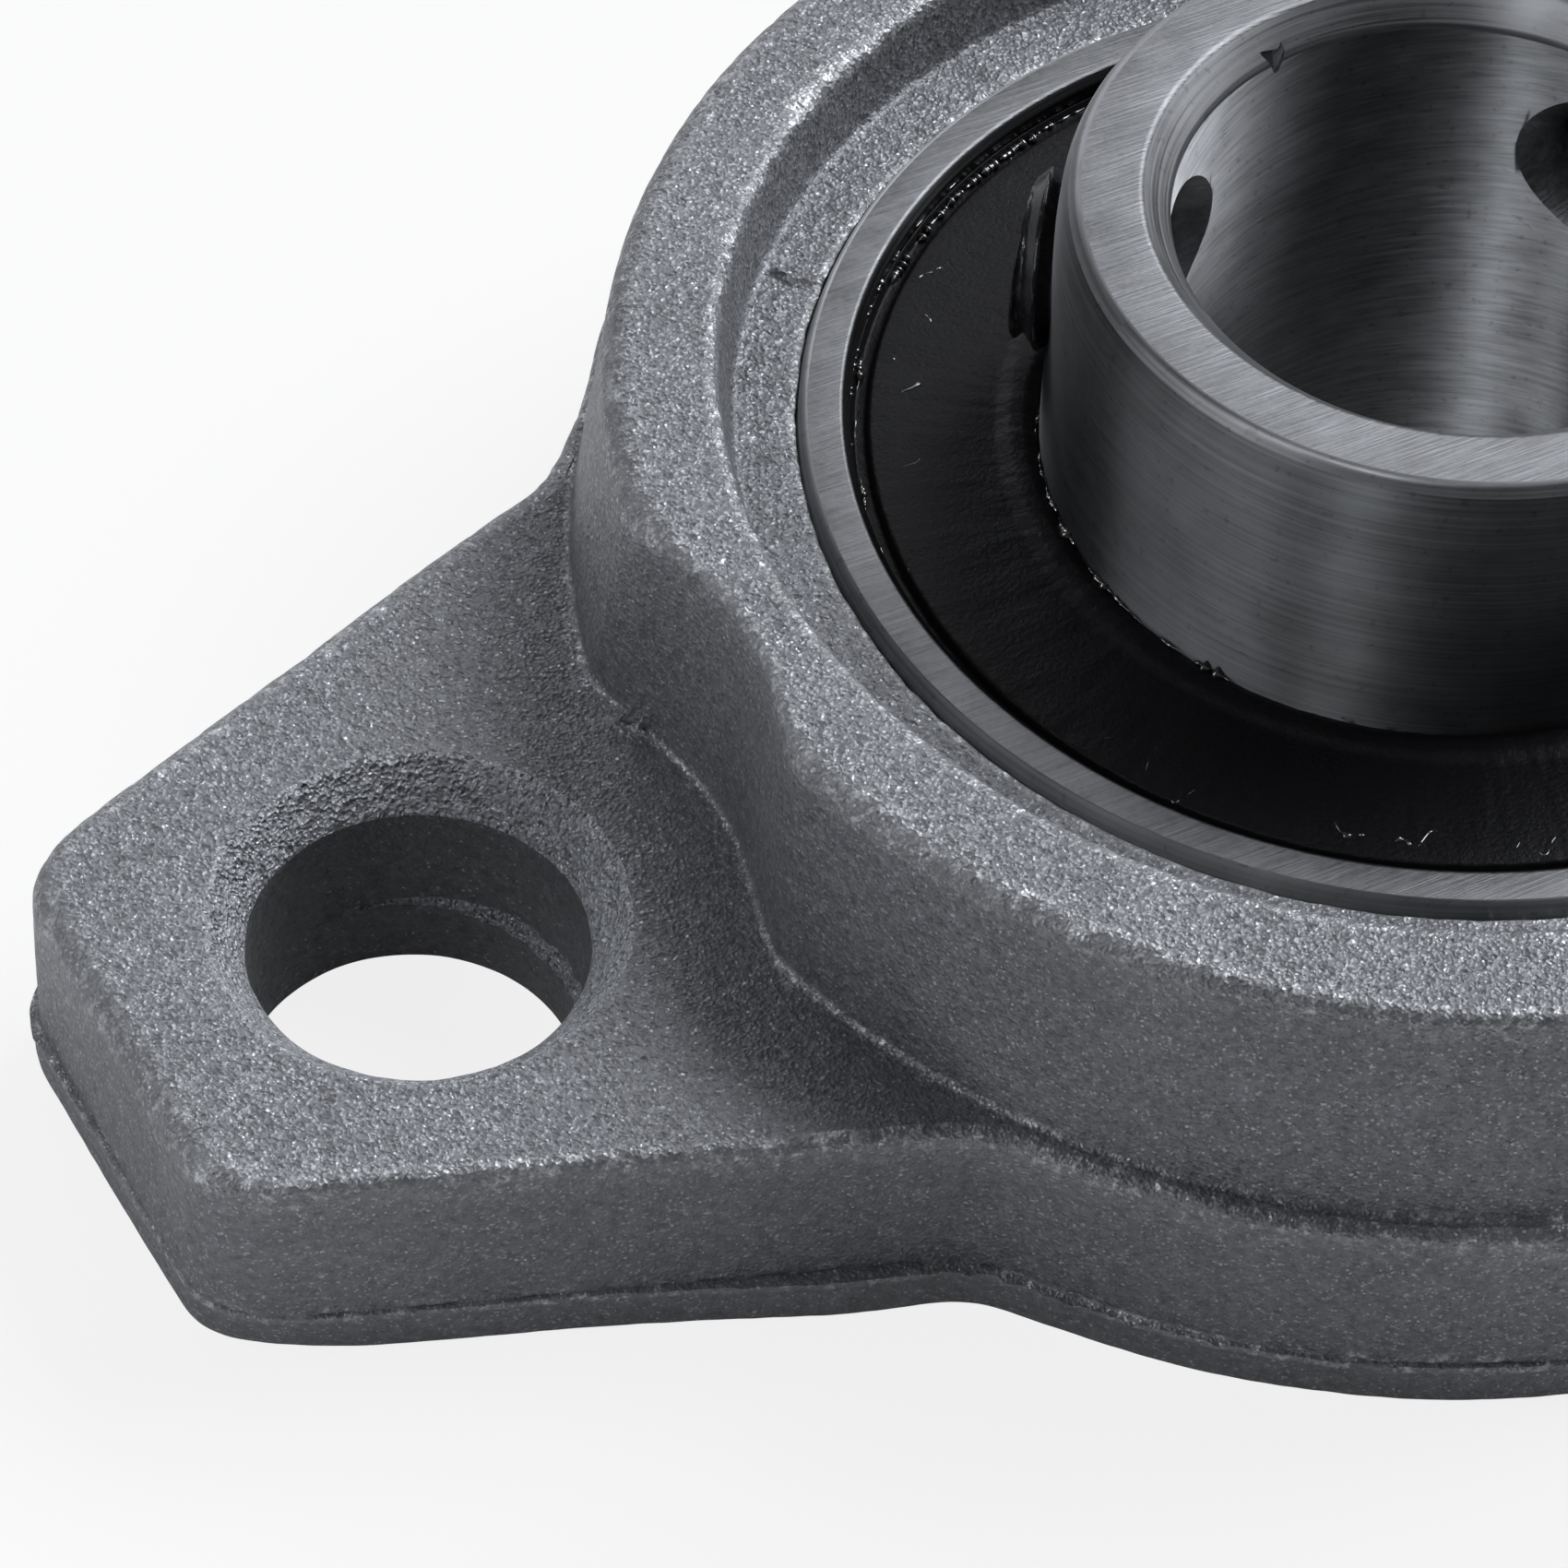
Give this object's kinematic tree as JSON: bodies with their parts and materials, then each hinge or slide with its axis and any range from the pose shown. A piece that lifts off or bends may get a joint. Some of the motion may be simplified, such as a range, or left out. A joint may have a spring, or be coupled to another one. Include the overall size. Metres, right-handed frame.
{
  "type": "flange bearing",
  "caption": "Self-aligning flange bearing: a cast rhombic housing bolts to a flat face and holds a sealed ball bearing, whose collar grips a shaft with set screws.",
  "frame": {"origin": "on the mounting face, under the bearing centre", "axes": "+Z along the shaft to the collar end, +X along the line of the two bolts"},
  "size_m": [0.062, 0.038, 0.016],
  "materials": {
    "cast_zinc": "shot-blasted zinc die casting, fine grain",
    "bearing_steel": "ground and turned bearing steel",
    "ball_steel": "polished",
    "pressed_steel": "pressed sheet",
    "seal_rubber": "moulded rubber, lightly greased",
    "black_steel": "black oxide"
  },
  "bodies": {
    "housing": {"housing": "cast_zinc"},
    "outer_ring": {"outer_ring": "bearing_steel", "seal_front": "seal_rubber", "seal_front_insert": "pressed_steel", "seal_back": "seal_rubber", "seal_back_insert": "pressed_steel"},
    "inner_ring": {"inner_ring": "bearing_steel"},
    "cage": {"cage_front": "pressed_steel", "cage_back": "pressed_steel", "cage_rivets": "pressed_steel"},
    "ball_1": {"ball_1": "ball_steel"},
    "ball_2": {"ball_2": "ball_steel"},
    "ball_3": {"ball_3": "ball_steel"},
    "ball_4": {"ball_4": "ball_steel"},
    "ball_5": {"ball_5": "ball_steel"},
    "ball_6": {"ball_6": "ball_steel"},
    "ball_7": {"ball_7": "ball_steel"},
    "ball_8": {"ball_8": "ball_steel"},
    "set_screw_1": {"set_screw_1": "black_steel"},
    "set_screw_2": {"set_screw_2": "black_steel"}
  },
  "joints": [
    {"name": "self_align", "type": "hinge", "parent": "housing", "child": "outer_ring", "pos_m": [0, 0, 0.0055], "axis": [1, 0, 0], "range_deg": [-2, 2]},
    {"name": "inner_ring_spin", "type": "hinge", "parent": "outer_ring", "child": "inner_ring", "pos_m": [0, 0, 0.0055], "axis": [0, 0, 1], "continuous": true},
    {"name": "cage_orbit", "type": "hinge", "parent": "outer_ring", "child": "cage", "pos_m": [0, 0, 0.0055], "axis": [0, 0, 1], "continuous": true},
    {"name": "ball_1_spin", "type": "hinge", "parent": "cage", "child": "ball_1", "pos_m": [0.01, 0, 0.0055], "axis": [0, 0, 1], "continuous": true},
    {"name": "ball_2_spin", "type": "hinge", "parent": "cage", "child": "ball_2", "pos_m": [0.00707, 0.00707, 0.0055], "axis": [0, 0, 1], "continuous": true},
    {"name": "ball_3_spin", "type": "hinge", "parent": "cage", "child": "ball_3", "pos_m": [0, 0.01, 0.0055], "axis": [0, 0, 1], "continuous": true},
    {"name": "ball_4_spin", "type": "hinge", "parent": "cage", "child": "ball_4", "pos_m": [-0.00707, 0.00707, 0.0055], "axis": [0, 0, 1], "continuous": true},
    {"name": "ball_5_spin", "type": "hinge", "parent": "cage", "child": "ball_5", "pos_m": [-0.01, 0, 0.0055], "axis": [0, 0, 1], "continuous": true},
    {"name": "ball_6_spin", "type": "hinge", "parent": "cage", "child": "ball_6", "pos_m": [-0.00707, -0.00707, 0.0055], "axis": [0, 0, 1], "continuous": true},
    {"name": "ball_7_spin", "type": "hinge", "parent": "cage", "child": "ball_7", "pos_m": [0, -0.01, 0.0055], "axis": [0, 0, 1], "continuous": true},
    {"name": "ball_8_spin", "type": "hinge", "parent": "cage", "child": "ball_8", "pos_m": [0.00707, -0.00707, 0.0055], "axis": [0, 0, 1], "continuous": true},
    {"name": "set_screw_1_feed", "type": "slide", "parent": "inner_ring", "child": "set_screw_1", "axis": [0.9397, 0.342, 0], "range_m": [-0.0007, 0.001]},
    {"name": "set_screw_2_feed", "type": "slide", "parent": "inner_ring", "child": "set_screw_2", "axis": [-0.766, 0.6428, 0], "range_m": [-0.0007, 0.001]}
  ],
  "couplings": [
    {"joint": "cage_orbit", "follows": "inner_ring_spin", "ratio": 0.38095},
    {"joint": "ball_1_spin", "follows": "inner_ring_spin", "ratio": -1.9809},
    {"joint": "ball_2_spin", "follows": "inner_ring_spin", "ratio": -1.9809},
    {"joint": "ball_3_spin", "follows": "inner_ring_spin", "ratio": -1.9809},
    {"joint": "ball_4_spin", "follows": "inner_ring_spin", "ratio": -1.9809},
    {"joint": "ball_5_spin", "follows": "inner_ring_spin", "ratio": -1.9809},
    {"joint": "ball_6_spin", "follows": "inner_ring_spin", "ratio": -1.9809},
    {"joint": "ball_7_spin", "follows": "inner_ring_spin", "ratio": -1.9809},
    {"joint": "ball_8_spin", "follows": "inner_ring_spin", "ratio": -1.9809}
  ]
}
